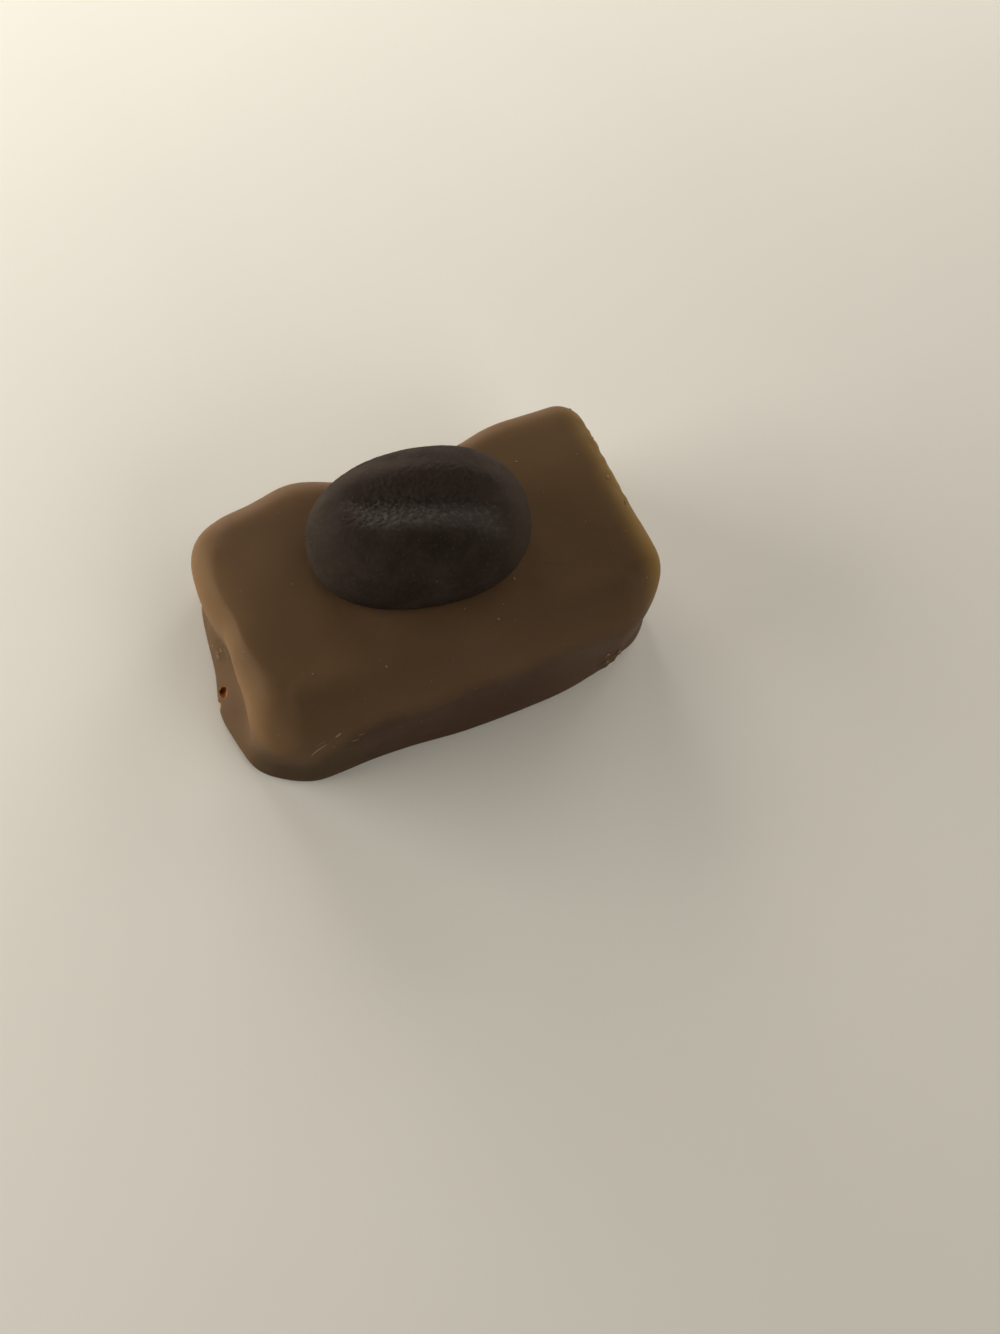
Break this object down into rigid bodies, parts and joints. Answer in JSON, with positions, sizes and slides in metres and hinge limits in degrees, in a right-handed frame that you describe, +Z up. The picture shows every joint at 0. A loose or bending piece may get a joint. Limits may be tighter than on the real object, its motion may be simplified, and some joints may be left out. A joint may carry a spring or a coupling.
{
  "type": "chocolate praline",
  "caption": "Oblong praline enrobed in milk chocolate, with soft rolled edges, a spreading foot and a grooved dark chocolate coffee bean pressed onto its top, to be eaten as a sweet.",
  "frame": {"origin": "under the middle of the part's box, on the flat base it stands on", "axes": "+X along the block, towards its squarer end; +Y towards the hollowed long side; +Z up, towards the bean"},
  "size_m": [0.038, 0.0226, 0.0189],
  "materials": {
    "milk_chocolate": "satin, the dull sheen of a set milk chocolate coat",
    "dark_chocolate": "matte, with a pale bloom and dust"
  },
  "bodies": {
    "root": {"milk_chocolate_block": "milk_chocolate", "dark_chocolate_bean": "dark_chocolate"}
  },
  "joints": []
}
